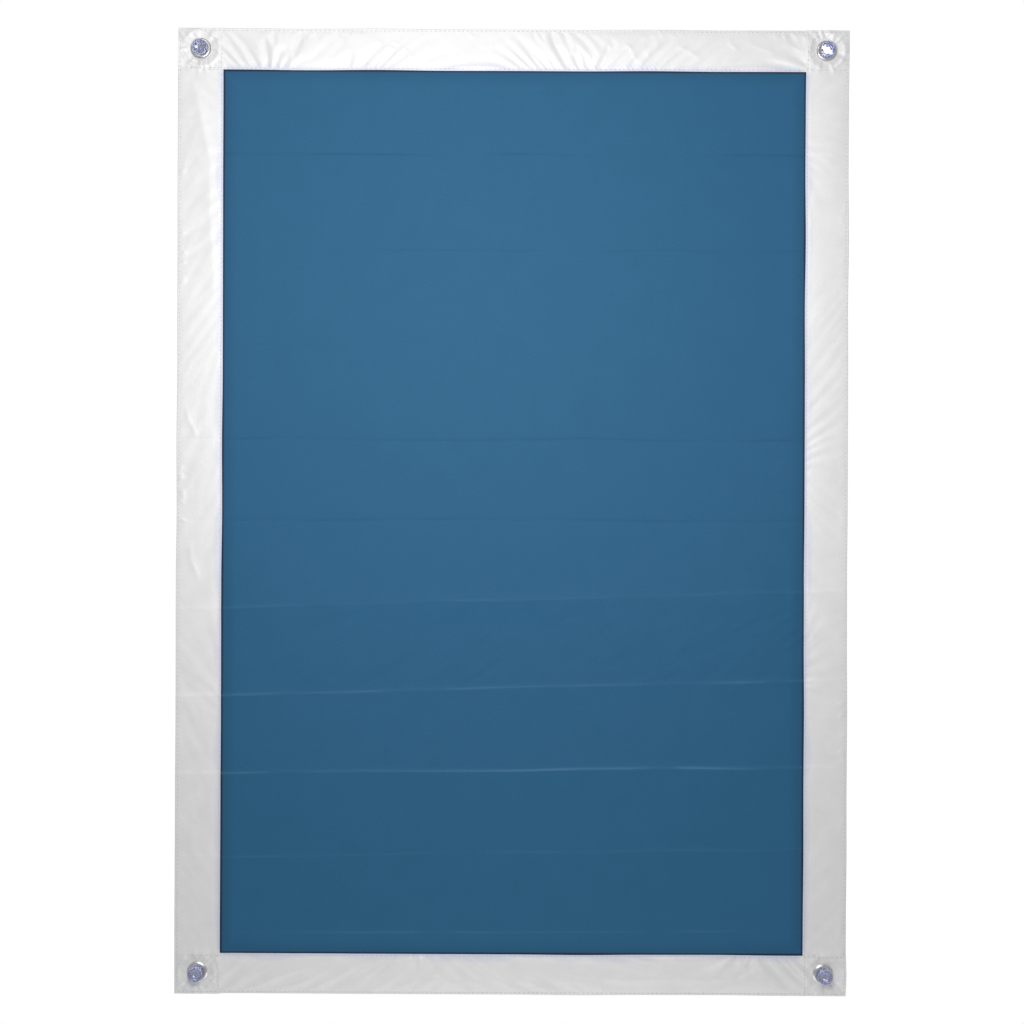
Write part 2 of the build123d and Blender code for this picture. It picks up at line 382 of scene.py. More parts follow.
def hem_height(side, a, s):
    """How far a hem's front leg stands off the sheet at a from the outer edge and s along it."""
    hem = HEMS[side]
    width, seed = WIDTHS[side], hem["seed"]
    x, z = hem_point(side, a, s)
    t = np.clip((a - SEAM_OUT) / (width - SEAM_IN - SEAM_OUT), 0, 1)
    arch = np.sin(math.pi * t)
    table = BUCKLES[side]
    low, high = ENDS[side]
    ripple = cubic(table, t * (table.shape[0] - 1), (s - low) / (high - low) * (table.shape[1] - 1))
    height = hem["puff"] * arch**0.8 * (0.65 + 0.5 * noise(s / 45, a / 30, seed + 5))
    height = height + hem["gain"] * ripple + arch**0.5 * along_fold(side, a, s)
    # The soft band beside each row of stitches, drawn in at every stitch.
    rows = np.exp(-(((a - SEAM_OUT) / 1.0) ** 2)) + np.exp(-(((width - SEAM_IN - a) / 1.0) ** 2))
    pitch = STITCH_ALONG_SIDES if upright(side) else STITCH_ALONG_ENDS
    drawn = 0.5 + 0.5 * np.cos(2 * math.pi * (s - low) / pitch)
    height += 0.2 * (1 - rows) + 0.1 * rows * drawn
    # Here and there the outer row has drawn the cloth into short puckers.
    drawn_in = np.clip(1.6 * noise(s / 34, a * 0, seed + 9), 0, 1)
    drawn_in = drawn_in * np.exp(-(((a - SEAM_OUT - 2.8) / 2.6) ** 2))
    short = 4.2 if upright(side) else 2.9
    height += 0.7 * drawn_in * np.clip(noise(s / short, a / 9, seed + 10), 0, 1)
    # Beside an eyelet the cloth is pinched flat, with short creases round it and the cup's rim.
    away = corner_distance(x, z)
    middle = np.mean(x), np.mean(z)
    nearest = min(EYELETS.values(), key=lambda p: np.hypot(middle[0] - p[0], middle[1] - p[1]))
    angle = np.arctan2(z - nearest[1], x - nearest[0])
    height *= step(away, FLANGE_R - 1, FLANGE_R + 12)
    pucker = np.exp(-(((away - FLANGE_R - 5.0) / 5.5) ** 2)) * step(away, FLANGE_R - 1, FLANGE_R + 3)
    rays = 1 - np.abs(noise(angle * 3.4, away * 0.03, seed + 4)) * 2.2
    height += 1.05 * pucker * np.clip(rays, -0.3, 1)
    rim = np.exp(-(((corner_distance(x, z, CUPS) - CUP_R + 1.5) / 1.4) ** 2))
    height += 0.95 * rim * (0.55 + 0.45 * noise(angle * 1.2, away * 0, seed + 6))
    return np.clip(height, 0.0, HIGHEST_FOLD)


def lap(side, a, s):
    """How much higher a hem lies where it crosses over its neighbour's end."""
    inner = step(a, WIDTHS[side] - 9, WIDTHS[side] - 3)
    ends = {"top": LEFT - s, "right": s - TOP, "bottom": s - RIGHT, "left": BOTTOM - s}
    return 0.55 * inner * step(ends[side], -3.0, 1.5)


def hem_depth(side, a, s):
    """Depth of the outer surface of a hem's front leg."""
    x, z = hem_point(side, a, s)
    return STRIP_FRONT + relief(x, z) + hem_height(side, a, s) + lap(side, a, s)


# ------------------------------------------------------------------ mesh building

FLIP_D = np.array([1, -1, 1])  # from (x, d, z) to (x, y, z)


def finish_mesh(name, verts, faces, uvs, slots, flat_faces, materials, normals=None, marks=None):
    """A mesh object from points (x, d, z), with a UV, and perhaps a normal, for every point."""
    verts, faces = np.asarray(verts, float), np.asarray(faces, int)
    smooth = ~np.asarray(flat_faces, bool)
    corner_normals = None if normals is None else normals[faces] * smooth[:, None, None]
    used, packed = np.unique(faces, return_inverse=True)
    faces = packed.reshape(faces.shape)
    verts, uvs = verts[used], np.asarray(uvs, float)[used]
    world = verts * FLIP_D / MM
    mesh = bpy.data.meshes.new(name)
    mesh.from_pydata(world.tolist(), [], faces.tolist())
    layer = mesh.uv_layers.new(name="cloth")
    layer.data.foreach_set("uv", (uvs[faces.ravel()] / MM).astype(np.float32).ravel())
    mesh.polygons.foreach_set("material_index", np.asarray(slots, np.int32))
    mesh.polygons.foreach_set("use_smooth", smooth)
    for material in materials:
        mesh.materials.append(material)
    # The crease attribute holds the painted highlight and painted shade along the creases.
    if marks is not None:
        attribute = mesh.attributes.new("crease", "FLOAT", "POINT")
        attribute.data.foreach_set("value", marks[used].astype(np.float32))
    mesh.update()
    if corner_normals is not None:
        mesh.normals_split_custom_set((corner_normals.reshape(-1, 3) * FLIP_D).tolist())
    piece = bpy.data.objects.new(name, mesh)
    bpy.context.scene.collection.objects.link(piece)
    return piece


def grid_normals(here, there):
    """Unit normals of a grid of points, without its outermost ring, pointing away from there."""
    across = here[2:, 1:-1] - here[:-2, 1:-1]
    along = here[1:-1, 2:] - here[1:-1, :-2]
    normals = np.cross(across, along)
    normals /= np.maximum(np.linalg.norm(normals, axis=-1, keepdims=True), 1e-9)
    outwards = (here - there)[1:-1, 1:-1]
    facing = np.where((normals * outwards).sum(-1, keepdims=True) < 0, -1, 1)
    return (normals * facing).reshape(-1, 3)


def one_more(stops):
    """Grid stops with one more at each end, so that a normal at a join sees both sides of it."""
    return np.concatenate([[2 * stops[0] - stops[1]], stops, [2 * stops[-1] - stops[-2]]])


def slab(name, us, vs, place, materials, inner_slot=0, holes=(), marks=None):
    """A closed sheet over a grid, which is also its UV.

    place(u, v) gives the (x, d, z) of its outer and of its inner face.
    """
    u, v = np.meshgrid(one_more(us), one_more(vs), indexing="ij")
    outer, inner = (np.stack(np.broadcast_arrays(*points), -1) for points in place(u, v))
    normals = np.concatenate([grid_normals(outer, inner), grid_normals(inner, outer)])
    u, v, outer, inner = (grid[1:-1, 1:-1] for grid in (u, v, outer, inner))
    count = u.size
    index = np.arange(count).reshape(u.shape)
    centre = (outer[:-1, :-1] + outer[1:, 1:]) / 2
    kept = np.ones(centre.shape[:2], bool)
    for (x, z), radius in holes:
        kept &= np.hypot(centre[..., 0] - x, centre[..., 2] - z) > radius
    corners = (index[:-1, :-1], index[1:, :-1], index[1:, 1:], index[:-1, 1:])
    quads = np.stack(corners, -1)[kept]
    padded = np.pad(kept, 1)
    neighbours = (padded[1:-1, :-2], padded[2:, 1:-1], padded[1:-1, 2:], padded[:-2, 1:-1])
    walls = []
    for edge, neighbour in enumerate(neighbours):
        bare = kept & ~neighbour
        p, q = corners[edge][bare], corners[(edge + 1) % 4][bare]
        walls.append(np.stack([q, p, p + count, q + count], -1))
    walls = np.concatenate(walls)
    faces = np.concatenate([quads, quads[:, ::-1] + count, walls])
    # The faces' corners run round so that their normals point outwards (y is -d).
    middle = quads[len(quads) // 2]
    sample = outer.reshape(-1, 3)[middle] * FLIP_D
    winding = np.cross(sample[1] - sample[0], sample[2] - sample[0])
    if winding @ (normals[middle[0]] * FLIP_D) < 0:
        faces = faces[:, ::-1]
    slots = np.repeat([0, inner_slot, 0], [len(quads), len(quads), len(walls)])
    flat = np.repeat([False, True], [2 * len(quads), len(walls)])
    verts = np.concatenate([outer.reshape(-1, 3), inner.reshape(-1, 3)])
    texture = np.tile(np.stack([u, v], -1).reshape(-1, 2), (2, 1))
    if marks is not None:
        marks = np.tile(marks(u, v).ravel(), 2)
    return finish_mesh(name, verts, faces, texture, slots, flat, materials, normals, marks)


def graded(low, high, coarse, lines=(), fine=0.45, reach=4.0, mid=1.1, mid_reach=12.0):
    """Grid stops from low to high, closer together near each of the lines.

    They are fine as far as reach from a line, mid as far as mid_reach and coarse beyond it.
    """
    stops = [low]
    while stops[-1] < high - 1e-6:
        away = min([abs(stops[-1] - line) for line in lines] or [1e9])
        ahead = min([abs(stops[-1] + mid - line) for line in lines] or [1e9])
        pace = fine if min(away, ahead) < reach else mid if min(away, ahead) < mid_reach else coarse
        stops.append(stops[-1] + pace)
    scale = (high - low) / (stops[-1] - low)
    return np.array([low + (stop - low) * scale for stop in stops])


def rounded(points, steps=6):
    """A profile of (r, d, fillet) points as (r, d), with its corners rounded."""
    result = []
    for i, (r, d, fillet) in enumerate(points):
        here = np.array([r, d], float)
        if fillet <= 0 or i in (0, len(points) - 1):
            result.append(here)
            continue
        before = np.array(points[i - 1][:2]) - here
        after = np.array(points[i + 1][:2]) - here
        length_before, length_after = np.linalg.norm(before), np.linalg.norm(after)
        cosine = before @ after / length_before / length_after
        half = math.acos(max(-1.0, min(1.0, cosine))) / 2
        reach = min(fillet / math.tan(half), 0.48 * length_before, 0.48 * length_after)
        start = here + before / length_before * reach
        end = here + after / length_after * reach
        for k in range(steps + 1):
            t = k / steps
            result.append((1 - t) ** 2 * start + 2 * t * (1 - t) * here + t * t * end)
    return result


SMALLEST_R = 0.002  # a turned body's ends are closed to this radius


def lathe(name, centre, profile, material, closed, around=96):
    """A body of revolution about the line through centre, square to the glass."""
    x, z = centre
    angles = np.linspace(0, 2 * math.pi, around, endpoint=False)
    profile = np.array(profile)
    verts, uvs, faces = [], [], []
    for r, d in profile:
        r = max(r, SMALLEST_R)
        verts += [(x + r * math.cos(a), d, z + r * math.sin(a)) for a in angles]
        uvs += [(a * 10, d) for a in angles]
    rings = len(profile)
    for i in range(rings if closed else rings - 1):
        one, two = i * around, (i + 1) % rings * around
        for k in range(around):
            n = (k + 1) % around
            faces.append((one + k, one + n, two + n, two + k))
    return finish_mesh(name, verts, faces, uvs, [0] * len(faces), [False] * len(faces), [material])


# ------------------------------------------------------------------ materials

def shader(name, **sockets):
    """A material with a Principled shader, and its nodes, links and shader."""
    material = bpy.data.materials.new(name)
    material.use_nodes = True
    nodes, links = material.node_tree.nodes, material.node_tree.links
    body = nodes["Principled BSDF"]
    for key, value in sockets.items():
        body.inputs[key.replace("_", " ")].default_value = value
    return material, nodes, links, body


def add(nodes, kind, **settings):
    """A new node with its properties, or its inputs by name, set."""
    node = nodes.new(kind)
    for key, value in settings.items():
        if hasattr(node, key):
            setattr(node, key, value)
        else:
            node.inputs[key.replace("_", " ")].default_value = value
    return node


def thrice(value):
    """A grey, or a scale that is the same every way."""
    return (value, value, value)


def mapped(nodes, links, scale):
    """The cloth's own coordinates, in metres, times a scale."""
    uv = add(nodes, "ShaderNodeUVMap", uv_map="cloth")
    mapping = add(nodes, "ShaderNodeMapping")
    mapping.inputs["Scale"].default_value = scale
    links.new(uv.outputs["UV"], mapping.inputs["Vector"])
    return mapping.outputs["Vector"]


def ramp(nodes, links, source, stops):
    """A colour ramp over a value: stops are (position, colour)."""
    node = nodes.new("ShaderNodeValToRGB")
    elements = node.color_ramp.elements
    while len(elements) < len(stops):
        elements.new(0.5)
    for element, (position, colour) in zip(elements, stops):
        element.position = position
        element.color = (*colour, 1)
    links.new(source, node.inputs["Fac"])
    return node.outputs["Color"]


def feed(links, value, socket):
    """Links an output to a socket, or sets the socket to a plain value."""
    if isinstance(value, bpy.types.NodeSocket):
        links.new(value, socket)
    else:
        socket.default_value = value


def calculated(nodes, links, operation, *values, **settings):
    """A sum of outputs and plain numbers."""
    node = add(nodes, "ShaderNodeMath", operation=operation, **settings)
    for value, socket in zip(values, node.inputs):
        feed(links, value, socket)
    return node.outputs["Value"]


def mixed(nodes, links, factor, first, second, blend="MIX"):
    """A colour that is the first where the factor is 0 and the second where it is 1."""
    node = add(nodes, "ShaderNodeMix", data_type="RGBA", blend_type=blend)
    feed(links, factor, node.inputs["Factor"])
    feed(links, first, node.inputs[6])
    feed(links, second, node.inputs[7])
    return node.outputs[2]


def ranged(nodes, links, value, **settings):
    """A value mapped from one range to another."""
    node = add(nodes, "ShaderNodeMapRange", **settings)
    links.new(value, node.inputs["Value"])
    return node.outputs["Result"]


def texture_noise(nodes, links, scale, **settings):
    """Noise in the cloth's own coordinates, with so many features a metre."""
    node = add(nodes, "ShaderNodeTexNoise", Scale=1.0, **settings)
    links.new(mapped(nodes, links, scale), node.inputs["Vector"])
    return node.outputs["Fac"]


def bumped(nodes, links, height, strength, distance):
    """A Bump node over a height; its normal is still to be linked."""
    node = add(nodes, "ShaderNodeBump", Strength=strength, Distance=distance)
    links.new(height, node.inputs["Height"])
    return node


def weave_bump(nodes, links, body, pitch_mm, strength, grain):
    """Threads crossing at right angles, with an uneven surface under them."""
    heights = []
    for direction in ("X", "Y"):
        bands = {"wave_type": "BANDS", "bands_direction": direction}
        wave = add(nodes, "ShaderNodeTexWave", Scale=0.31, Distortion=0.3, **bands)
        links.new(mapped(nodes, links, thrice(MM / pitch_mm)), wave.inputs["Vector"])
        heights.append(wave.outputs["Fac"])
    threads = bumped(nodes, links, calculated(nodes, links, "MAXIMUM", *heights), strength, 0.00012)
    rough = texture_noise(nodes, links, thrice(420), Detail=5.0, Roughness=0.6)
    uneven = bumped(nodes, links, rough, grain, 0.0004)
    links.new(uneven.outputs["Normal"], threads.inputs["Normal"])
    links.new(threads.outputs["Normal"], body.inputs["Normal"])


BLUES = ((0.0180, 0.121, 0.248), (0.0200, 0.128, 0.261))
# Painted shadow where the cloth goes in under the hems.
HEM_SHADOW_NAVY = (0.010, 0.022, 0.060, 1)
CREASE_HIGHLIGHT_BLUE = (0.085, 0.225, 0.385, 1)
# Painted highlight and painted shade along the creases.
CREASE_SHADE_BLUE = (0.008, 0.058, 0.130, 1)
SILVERS = ((0.835, 0.832, 0.834), (0.88, 0.878, 0.880))
# Painted reflection of the blue cloth on the hems' free edges.
BLUE_REFLECTION_TINT = (0.62, 0.66, 0.85, 1)
THREAD_GREYS = ((0.56, 0.57, 0.59), (0.76, 0.77, 0.79))
NICKELS = ((0.78, 0.77, 0.75), (0.90, 0.89, 0.87))
LILAC = (0.68, 0.71, 0.94, 1)


def blue_cloth():
    """The dyed face: matt, finely woven and a little mottled, with a navy line of painted shadow at its
    edge, painted shade near the hems and painted highlights and shade along its creases.
    """
    material, nodes, links, body = shader("blue_blackout_cloth", Roughness=0.72, Specular_IOR_Level=0.32)
    body.inputs["Sheen Weight"].default_value = 0.06
    body.inputs["Sheen Roughness"].default_value = 0.45
    mottle = texture_noise(nodes, links, thrice(38), Detail=6.0, Roughness=0.62)
    tone = ramp(nodes, links, mottle, [(0.25, BLUES[0]), (0.75, BLUES[1])])
    # Painted shadow: a navy line where the cloth goes in under the hems.
    place = add(nodes, "ShaderNodeSeparateXYZ")
    links.new(mapped(nodes, links, thrice(MM)), place.inputs["Vector"])
    nearest = None
    for axis, way, edge in (("X", 1, LEFT), ("X", -1, RIGHT), ("Y", 1, BOTTOM), ("Y", -1, TOP)):
        away = calculated(nodes, links, "MULTIPLY_ADD", place.outputs[axis], way, -way * edge)
        if nearest is not None:
            away = calculated(nodes, links, "MINIMUM", nearest, away)
        nearest = away
    line = ranged(nodes, links, nearest, From_Min=0.6, From_Max=2.1)
    colour = mixed(nodes, links, line, HEM_SHADOW_NAVY, tone)
    # Painted highlights along the hard creases and painted shade along the faint ones.
    crease_light = add(nodes, "ShaderNodeAttribute", attribute_name="crease")
    for sign, other in ((1.0, CREASE_HIGHLIGHT_BLUE), (-1.0, CREASE_SHADE_BLUE)):
        share = calculated(nodes, links, "MULTIPLY", crease_light.outputs["Fac"], sign, use_clamp=True)
        colour = mixed(nodes, links, share, colour, other)
    # Threads that took the dye unevenly, and painted shade in a margin beside the hems.
    grain = texture_noise(nodes, links, thrice(780), Detail=2.0)
    uneven = ramp(nodes, links, grain, [(0.3, thrice(0.87)), (0.7, thrice(1))])
    hem_shade = ranged(nodes, links, nearest, From_Min=1.5, From_Max=13.0, To_Min=0.84, To_Max=1.0)
    grain_and_hem_shade = mixed(nodes, links, 1.0, uneven, hem_shade, "MULTIPLY")
    dye_and_painted_light = mixed(nodes, links, 1.0, colour, grain_and_hem_shade, "MULTIPLY")
    links.new(dye_and_painted_light, body.inputs["Base Color"])
    weave_bump(nodes, links, body, 0.8, 0.35, 0.22)
    return material


BLUE_REFLECTION_REACH = 6.0  # how far the painted reflection of the blue reaches in from a hem's free edge


def silver_cloth(name, blue_edge=None):
    """The coated cloth: pale, satin, blotchy in its gloss.

    A hem's free edge gets a painted reflection of the blue, as far as blue_edge each way from its
    middle.
    """
    material, nodes, links, body = shader(name, Metallic=0.12, Specular_IOR_Level=0.5)
    blotch = texture_noise(nodes, links, thrice(45), Detail=5.0, Roughness=0.6)
    tone = ramp(nodes, links, blotch, [(0.3, SILVERS[0]), (0.7, SILVERS[1])])
    # Painted reflection of the blue cloth, fading in from the hem's free edge.
    if blue_edge:
        wide = texture_noise(nodes, links, thrice(16), Detail=2.0)
        reach = ramp(nodes, links, wide, [(0.40, thrice(0.4)), (0.62, thrice(1))])
        place = add(nodes, "ShaderNodeSeparateXYZ")
        links.new(mapped(nodes, links, thrice(MM / BLUE_REFLECTION_REACH)), place.inputs["Vector"])
        share = calculated(nodes, links, "DIVIDE", place.outputs["X"], reach)
        fade = ranged(nodes, links, share, From_Min=0.0, From_Max=1.4, To_Min=0.75, To_Max=0.0)
        along = calculated(nodes, links, "ABSOLUTE", place.outputs["Y"])
        stop = {"From_Min": (blue_edge - 3) / BLUE_REFLECTION_REACH, "From_Max": blue_edge / BLUE_REFLECTION_REACH}
        inside = ranged(nodes, links, along, To_Min=1.0, To_Max=0.0, **stop)
        tone = mixed(nodes, links, calculated(nodes, links, "MULTIPLY", fade, inside), tone, BLUE_REFLECTION_TINT)
    links.new(tone, body.inputs["Base Color"])
    gloss = ranged(nodes, links, blotch, To_Min=0.36, To_Max=0.56)
    links.new(gloss, body.inputs["Roughness"])
    weave_bump(nodes, links, body, 0.5, 0.12, 0.3)
    return material


def thread_material():
    """Twisted polyester thread."""
    material, nodes, links, body = shader("sewing_thread", Roughness=0.6)
    bands = {"wave_type": "BANDS", "bands_direction": "DIAGONAL"}
    wave = add(nodes, "ShaderNodeTexWave", Scale=1.0, Distortion=0.4, **bands)
    links.new(mapped(nodes, links, thrice(900)), wave.inputs["Vector"])
    tone = ramp(nodes, links, wave.outputs["Fac"], [(0.0, THREAD_GREYS[0]), (1.0, THREAD_GREYS[1])])
    links.new(tone, body.inputs["Base Color"])
    bump = bumped(nodes, links, wave.outputs["Fac"], 0.5, 0.0001)
    links.new(bump.outputs["Normal"], body.inputs["Normal"])
    return material


def nickel_material():
    """Nickel plate with faint turning marks."""
    material, nodes, links, body = shader("nickel_plate", Metallic=1.0)
    marks = texture_noise(nodes, links, (60, 2500, 1), Detail=4.0)
    tone = ramp(nodes, links, marks, [(0.3, NICKELS[0]), (0.7, NICKELS[1])])
    links.new(tone, body.inputs["Base Color"])
    gloss = ranged(nodes, links, marks, To_Min=0.22, To_Max=0.38)
    links.new(gloss, body.inputs["Roughness"])
    bump = bumped(nodes, links, marks, 0.15, 0.0001)
    links.new(bump.outputs["Normal"], body.inputs["Normal"])
    return material


def pvc_material():
    """Clear soft PVC with a lilac-blue tint and a faintly uneven surface."""
    material, nodes, links, body = shader("clear_pvc", Roughness=0.10, IOR=1.5, Transmission_Weight=0.9)
    body.inputs["Base Color"].default_value = LILAC
    ripple = add(nodes, "ShaderNodeTexNoise", Scale=160.0, Detail=2.0)
    coords = add(nodes, "ShaderNodeTexCoord")
    links.new(coords.outputs["Object"], ripple.inputs["Vector"])
    bump = bumped(nodes, links, ripple.outputs["Fac"], 0.008, 0.0004)
    links.new(bump.outputs["Normal"], body.inputs["Normal"])
    return material


BLUE = blue_cloth()
SIDE_HEM = silver_cloth("silver_coated_side_hem", min(TOP, -BOTTOM))
END_HEM = silver_cloth("silver_coated_end_hem", min(RIGHT, -LEFT))
BACK = silver_cloth("silver_coated_back")
THREAD = thread_material()
NICKEL = nickel_material()
PVC = pvc_material()


# ------------------------------------------------------------------ where each piece begins and ends

PANELS = [HALF_H] + CREASES + [-HALF_H]
MIDDLES = [(a + b) / 2 for a, b in zip(PANELS[1:-2], PANELS[2:-1])]
CUTS = [HALF_H] + MIDDLES + [-HALF_H]
SPANS = list(zip(CUTS[1:], CUTS[:-1]))  # the low and high end of the piece round each crease


LAST = len(CREASES) - 1
SHEET_HOLE_R = 6.3  # the sheet's holes, and the hems' below, end inside the eyelets
HEM_HOLE_R = 6.6


def body(number):
    return f"panel_{number:02d}"


def end_body(side):
    """The body that the top or the bottom edge belongs to."""
    return body(1) if side.startswith("top") else body(LAST + 2)


def stood_for(prefix, fold):
    """The CAD nodes that the piece round a crease stands for: the last piece stands for two."""
    numbers = [fold + 1, fold + 2] if fold == LAST else [fold + 1]
    return [f"{prefix}_{number:02d}" for number in numbers]


def bend_over(piece):
    """Bakes a piece's place into its mesh."""
    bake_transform(piece)


# ------------------------------------------------------------------ the blue sheet

def make_sheet(fold):
    """The blue cloth from the middle of one panel to the middle of the next."""
    low, high = SPANS[fold]
    low, high = max(low, -SHEET_Z), min(high, SHEET_Z)

    def place(x, z):
        raised = relief(x, z)
        return (x, SHEET_FRONT + raised, z), (x, SHEET_BACK + raised, z)

    holes = [(centre, SHEET_HOLE_R) for centre in EYELETS.values()]
    xs = graded(-SHEET_X, SHEET_X, 3.0, (LEFT, RIGHT), fine=1.0, reach=2.0, mid=2.0)
    zs = graded(low, high, 2.6, [CREASES[fold]])
    name = f"blackout_cloth_{fold + 1:02d}"
    piece = slab(name, xs, zs, place, [BLUE, BACK], 1, holes, crease_painted_light)
    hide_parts(*stood_for("blackout_panel", fold))
    bend_over(piece)


# ------------------------------------------------------------------ the hems' pieces

LEG_R = (STRIP_FRONT - STRIP_BACK) / 2 - STRIP_T / 2  # the fold's radius at the middle of the strip
FOLD_ARC = math.pi * LEG_R


def hem_piece(name, side, low, high, lines):
    """A length of a folded strip: front leg, fold round the outer edge, back leg."""
    width = WIDTHS[side]
    leg = width - LEG_R - STRIP_T / 2
    front = graded(0.0, leg, 1.3)
    arc = np.linspace(leg, leg + FOLD_ARC, 7)[1:]
    back = graded(leg + FOLD_ARC, 2 * leg + FOLD_ARC, 2.6)[1:]
    us = np.concatenate([front, arc, back])
    vs = graded(low, high, 2.0 if upright(side) else 1.3, lines)

    def place(u, v):
        turn = np.clip((u - leg) / LEG_R, 0, math.pi)
        on_back = STRIP_T / 2 + LEG_R + np.maximum(u - leg - FOLD_ARC, 0)
        flat = np.where(u <= leg, width - u, on_back)
        drift = 0.35 * noise(v / 60, u * 0, HEMS[side]["seed"] + 8)
        x, z = hem_point(side, flat, v)
        base = MID + relief(x, z)
        lift = np.where(u <= leg, hem_height(side, flat, v) + lap(side, flat, v), 0)
        hollow = 0.5 * np.sin(math.pi * np.clip(flat / width, 0, 1))
        sink = np.where(turn >= math.pi, hollow, 0)
        base = base + lift - sink * step(corner_distance(x, z), 11, 30)
        faces = []
        for face in (1, -1):
            radius = LEG_R + face * STRIP_T / 2
            x, z = hem_point(side, flat - np.sin(turn) * radius + drift, v)
            faces.append((x, base + np.cos(turn) * radius, z))
        return faces

    holes = [(centre, HEM_HOLE_R) for centre in EYELETS.values()]
    return slab(name, us, vs, place, [SIDE_HEM if upright(side) else END_HEM], 0, holes)


def make_side_hem(side, fold):
    """The left or right hem from the middle of one panel to the middle of the next."""
    low = max(SPANS[fold][0], ENDS[side][0])
    high = min(SPANS[fold][1], ENDS[side][1])
    piece = hem_piece(f"{side}_hem_{fold + 1:02d}", side, low, high, [CREASES[fold]])
    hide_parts(*stood_for(f"{side}_border", fold))
    bend_over(piece)


def make_end_hem(side):
    """The top or bottom hem."""
    low, high = ENDS[side]
    piece = hem_piece(f"{side}_hem", side, low, high, [])
    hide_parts(f"{side}_border")
    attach(piece, end_body(side))


# ------------------------------------------------------------------ stitches

STITCH_LENGTH = 2.5
THREAD_R = 0.23
ROW_MARGIN = 2.0  # how far a row stops short of the blind's corner


def stitch_rows():
    """Every row of stitches as (side, how far in, pitch, lowest, highest)."""
    rows = []
    for side, width in WIDTHS.items():
        pitch = STITCH_ALONG_SIDES if upright(side) else STITCH_ALONG_ENDS
        half = HALF_H if upright(side) else HALF_W
        for inset in (SEAM_OUT, width - SEAM_IN):
            rows.append((side, inset, pitch, ROW_MARGIN - half, half - ROW_MARGIN))
    return rows


def top_surface(x, z):
    """Depth of the cloth that shows at each point: the higher hem where two cross."""
    depth = STRIP_FRONT + relief(x, z)
    edges = {
        "left": (HALF_W + x, z),
        "right": (HALF_W - x, z),
        "top": (HALF_H - z, x),
        "bottom": (HALF_H + z, x),
    }
    for side, (a, s) in edges.items():
        inside = (a <= WIDTHS[side]) & (s > ENDS[side][0]) & (s < ENDS[side][1])
        hem = hem_depth(side, np.clip(a, 0, WIDTHS[side]), s)
        depth = np.where(inside, np.maximum(depth, hem), depth)
    return depth


def stitch_centres():
    """X, Z and direction (0 along x, 1 along z) of every stitch."""
    places = []
    for side, inset, pitch, low, high in stitch_rows():
        s = np.arange(low + pitch / 2, high, pitch)
        wander = 0.12 * noise(s / 25, s * 0, 60)
        x, z = hem_point(side, inset + wander, s)
        x, z = np.broadcast_to(x, s.shape), np.broadcast_to(z, s.shape)
        places += [(a, b, float(upright(side))) for a, b in zip(x, z)]
    places = np.array(places)
    clear = corner_distance(places[:, 0], places[:, 1]) > FLANGE_R + 0.6
    return places[clear]


def stitch_mesh(name, places, front):
    """Beads of thread, each sunk at both ends into the cloth."""
    rings, around = 5, 6
    t = np.linspace(-1, 1, rings)
    radius = THREAD_R * np.sqrt(np.clip(1.02 - t**4, 0.02, 1))
    lift = 0.16 - 0.30 * t**4
    angle = np.linspace(0, 2 * math.pi, around, endpoint=False)
    x0, z0, up = places[:, 0], places[:, 1], (places[:, 2] > 0.5)[:, None, None]
    depth = top_surface(x0, z0) if front else STRIP_BACK + relief(x0, z0)
    sign = 1 if front else -1
    lean = 0.12 * noise(x0 * 1.7, z0 * 1.7, 61)
    along = (t * STITCH_LENGTH / 2)[None, :, None]
    sideways = (radius[:, None] * np.cos(angle))[None] + lean[:, None, None] * along
    outwards = sign * (lift[:, None] + radius[:, None] * np.sin(angle))[None]
    shape = (len(places), rings, around)
    along = np.broadcast_to(along, shape)
    x = x0[:, None, None] + np.where(up, sideways, along)
    z = z0[:, None, None] + np.where(up, along, sideways)
    d = depth[:, None, None] + np.broadcast_to(outwards, shape)
    verts = np.stack([x, d, z], -1).reshape(-1, 3)
    uvs = np.stack([along, np.broadcast_to(angle * THREAD_R, shape)], -1).reshape(-1, 2)
    index = np.arange(len(verts)).reshape(shape)
    nxt = np.roll(index, -1, axis=2)
    sides = np.stack([index[:, :-1], nxt[:, :-1], nxt[:, 1:], index[:, 1:]], -1).reshape(-1, 4)
    caps = np.concatenate([index[:, 0][:, ::-1], index[:, -1]])
    halves = np.concatenate([caps[:, [0, 1, 2, 3]], caps[:, [0, 3, 4, 5]]])
    faces = np.concatenate([sides, halves])
    return finish_mesh(name, verts, faces, uvs, [0] * len(faces), [False] * len(faces), [THREAD])


def make_stitches():
    """Stitches on both faces, in a piece for the stretch round each crease."""
    places = stitch_centres()
    for fold, (low, high) in enumerate(SPANS):
        mine = places[(places[:, 1] > low) & (places[:, 1] <= high)]
        for face, front in (("front", True), ("back", False)):
            piece = stitch_mesh(f"stitches_{face}_{fold + 1:02d}", mine, front)
            if front:
                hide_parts(*stood_for("seam_thread", fold))
            bend_over(piece)


# ------------------------------------------------------------------ eyelets and cups

# Profiles as (radius, depth, fillet): the eyelet's from the flange's rim, the cup's from the glass.
EYELET_PROFILE = (
    (9.25, 10.62, 0.0),
    (9.2, 11.3, 0.5),
    (7.9, 12.25, 0.9),
    (6.2, 12.2, 0.9),
    (5.0, 11.2, 0.9),
    (5.0, 8.35, 0.5),
    (7.2, 8.35, 0.25),
    (7.2, 8.85, 0.2),
    (5.5, 8.85, 0.1),
    (5.5, 11.3, 0.4),
    (6.3, 11.75, 0.4),
    (7.8, 11.75, 0.4),
    (8.8, 10.62, 0.0),
)

